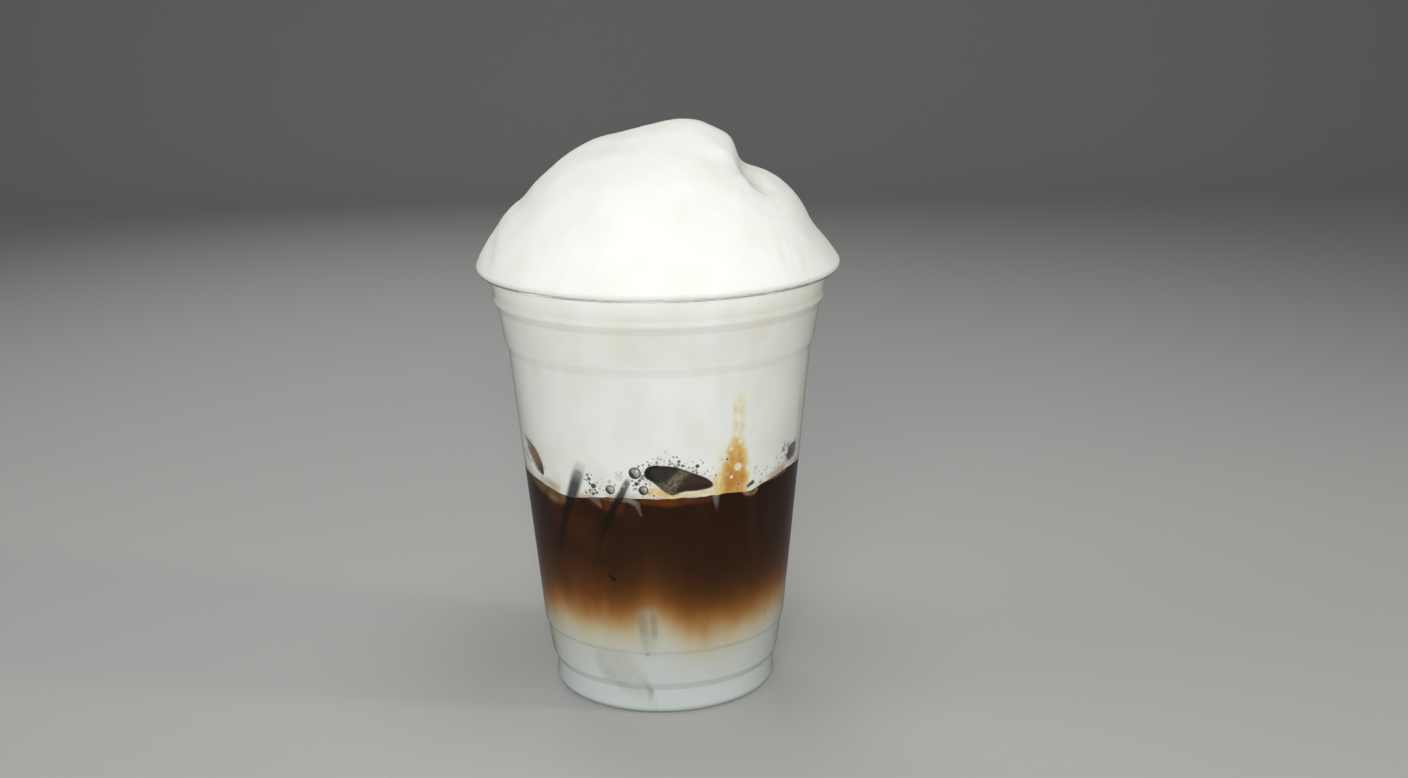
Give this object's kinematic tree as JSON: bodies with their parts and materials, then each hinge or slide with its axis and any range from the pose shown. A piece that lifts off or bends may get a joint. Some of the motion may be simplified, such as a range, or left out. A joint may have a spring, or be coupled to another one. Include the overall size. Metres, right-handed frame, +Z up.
{
  "type": "iced cappuccino in a clear plastic cup",
  "caption": "Layered cold coffee drink: milk, espresso and a tall heap of milk foam over the rim of a clear ribbed plastic cup.",
  "frame": {"origin": "middle of the cup's foot, on the surface that it stands on", "axes": "+Z up along the cup's axis, -Y towards the viewer of the picture, +X to the viewer's right"},
  "size_m": [0.098, 0.098, 0.1558],
  "materials": {
    "clear_plastic": "clear, smooth and glossy thermoformed plastic",
    "milk": "cold milk seen through the cup",
    "coffee": "dark espresso seen through the cup",
    "milk_foam": "dense satin white milk foam"
  },
  "bodies": {
    "root": {"cup": "clear_plastic", "milk": "milk", "coffee": "coffee", "foam": "milk_foam"}
  },
  "joints": []
}
